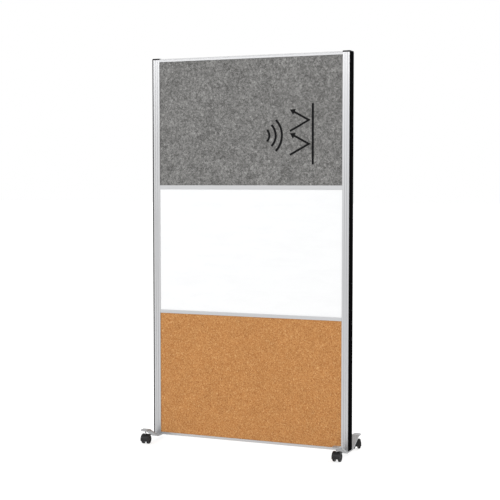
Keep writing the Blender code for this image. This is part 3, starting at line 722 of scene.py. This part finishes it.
def stem_mesh():
    """Threaded stem with its collar and swivel pin, along +x from the floor."""
    profile = [(FOOT_TIP_Z - 0.00015, 0.0), (FOOT_TIP_Z - 0.0002, STEM_R - 0.0008), (FOOT_TIP_Z - 0.0006, STEM_R - 0.0001)]
    z = FOOT_TIP_Z - 0.0010
    while z > BOSS_TOP + COLLAR_H + 0.0010:
        profile += [(z, STEM_R), (z - 0.0004, STEM_R - 0.0003)]
        z -= 0.0008
    profile += [
        (BOSS_TOP + COLLAR_H, STEM_R), (BOSS_TOP + COLLAR_H, COLLAR_R - 0.0005), (BOSS_TOP + COLLAR_H - 0.0002, COLLAR_R - 0.0002),
        (BOSS_TOP + COLLAR_H - 0.0005, COLLAR_R), (BOSS_TOP + 0.0008, COLLAR_R), (BOSS_TOP + 0.0005, COLLAR_R - 0.0002),
        (BOSS_TOP + 0.0003, COLLAR_R - 0.0005), (BOSS_TOP + 0.0003, PIN_R), (0.0310, PIN_R), (0.0304, PIN_R - 0.0006), (0.0302, 0.0),
    ]
    bm, _ = lathe(profile, 40)
    mesh = mesh_of(bm, "stem")
    mesh.transform(Matrix.Rotation(-math.pi / 2, 4, "Y"))
    return mesh


def axle_mesh():
    half = WHEEL_OUT - 0.0030
    profile = [(half, 0.0), (half, AXLE_R - 0.0006), (half - 0.0006, AXLE_R), (-half + 0.0006, AXLE_R), (-half, AXLE_R - 0.0006), (-half, 0.0)]
    bm, _ = lathe(profile, 32)
    return mesh_of(bm, "axle")


def nut_mesh():
    """Hexagon nut, corners turned off on both faces, about z from NUT_Z0."""
    profile = [(0.0032, 0.0), (0.0032, 0.0047), (0.0026, 0.0064), (0.0006, 0.0064), (0.0, 0.0047), (0.0, 0.0)]
    round_bm, _ = lathe(profile, 48)
    round_mesh = mesh_of(round_bm)
    round_mesh.transform(Matrix.Rotation(-math.pi / 2, 4, "Y"))
    hexagon = bmesh.new()
    bmesh.ops.create_cone(hexagon, cap_ends=True, segments=6, radius1=0.0058, radius2=0.0058, depth=0.010, matrix=Matrix.Translation((0, 0, 0.0016)))
    bore, _ = lathe([(-0.01, 0.0), (-0.01, STEM_R + 0.0003), (0.02, STEM_R + 0.0003), (0.02, 0.0)], 32)
    bore_mesh = mesh_of(bore)
    bore_mesh.transform(Matrix.Rotation(-math.pi / 2, 4, "Y"))
    mesh = combine(round_mesh, [("INTERSECT", mesh_of(hexagon)), ("DIFFERENCE", bore_mesh)])
    mesh.transform(Matrix.Translation((0, 0, NUT_Z0)))
    return mesh


WHEEL, HOUSING, STEM, AXLE, NUT = wheel_mesh(), housing_mesh(), stem_mesh(), axle_mesh(), nut_mesh()
for name in NAMES:
    stem_at = Vector(JOINT[f"castor_{name}_swivel"]["pos_m"])
    spin = JOINT[f"wheel_right_{name}_spin"]
    centre, axis = Vector(spin["pos_m"]), Vector(spin["axis"]).normalized()
    trail = Vector((0, 0, 1)).cross(axis)
    turn = Matrix(((axis.x, trail.x, 0, 0), (axis.y, trail.y, 0, 0), (0, 0, 1, 0), (0, 0, 0, 1)))
    at_axle = Matrix.Translation(centre) @ turn
    at_stem = Matrix.Translation((stem_at.x, stem_at.y, 0.0)) @ turn
    for node, mesh, where, materials, sharp in (
        (f"castor_wheel_right_{name}", WHEEL, at_axle, (SHELL, TREAD), 30.0),
        (f"castor_wheel_left_{name}", WHEEL, at_axle @ Matrix.Rotation(math.pi, 4, "Z"), (SHELL, TREAD), 30.0),
        (f"castor_housing_{name}", HOUSING, at_axle, SHELL, 34.0),
        (f"castor_axle_{name}", AXLE, at_axle, BOLT, 30.0),
        (f"castor_stem_{name}", STEM, at_stem, BOLT, 34.0),
        (f"castor_nut_{name}", NUT, at_stem, BOLT, 30.0),
    ):
        piece(node + "_fine", placed(mesh, where, node), BODY[node], materials, (node,), sharp)


# ------------------------------------------------------- floor, light, camera
def floor_material():
    t = Tree("pale_floor")
    t.set(Base_Color=(0.42, 0.42, 0.42, 1.0), Roughness=0.9, Specular_IOR_Level=0.05)
    t.set(Emission_Color=(1.0, 1.0, 1.0, 1.0), Emission_Strength=0.70)
    return t.material


bm = bmesh.new()
bmesh.ops.create_grid(bm, x_segments=8, y_segments=8, size=60.0)
floor = bpy.data.objects.new("floor", mesh_of(bm, "floor", closed=False))
floor.data.materials.append(floor_material())
bpy.context.scene.collection.objects.link(floor)

world = bpy.data.worlds.new("studio")
world.use_nodes = True
world.node_tree.nodes["Background"].inputs[0].default_value = (1.0, 1.0, 1.0, 1.0)
world.node_tree.nodes["Background"].inputs[1].default_value = 1.0
bpy.context.scene.world = world


def softbox(name, at, towards, width, height, power):
    data = bpy.data.lights.new(name, "AREA")
    data.shape = "RECTANGLE"
    data.size, data.size_y, data.energy = width, height, power
    obj = bpy.data.objects.new(name, data)
    bpy.context.scene.collection.objects.link(obj)
    obj.visible_camera = False
    obj.location = at
    obj.rotation_euler = (Vector(towards) - Vector(at)).to_track_quat("-Z", "Y").to_euler()
    return obj


softbox("key", (-2.4, -5.6, 4.2), (0.0, 0.0, 1.2), 5.0, 3.0, 150.0)
softbox("back", (2.5, 5.0, 4.2), (0.0, 0.0, 1.0), 4.0, 3.0, 120.0)

camera_data = bpy.data.cameras.new("camera")
camera_data.lens = 86.5129
camera_data.sensor_width = 36.0
camera_data.clip_start, camera_data.clip_end = 0.1, 400.0
camera = bpy.data.objects.new("camera", camera_data)
camera.location = (2.18570, -5.15032, 1.24380)
camera.rotation_euler = (math.pi / 2 - 0.0567932589, 0.0, 0.401330936)
bpy.context.scene.collection.objects.link(camera)
bpy.context.scene.camera = camera

view = bpy.context.scene.view_settings
view.view_transform = "Standard"
view.look = "None"
view.exposure = 0.0
view.gamma = 1.0

bpy.context.view_layer.update()
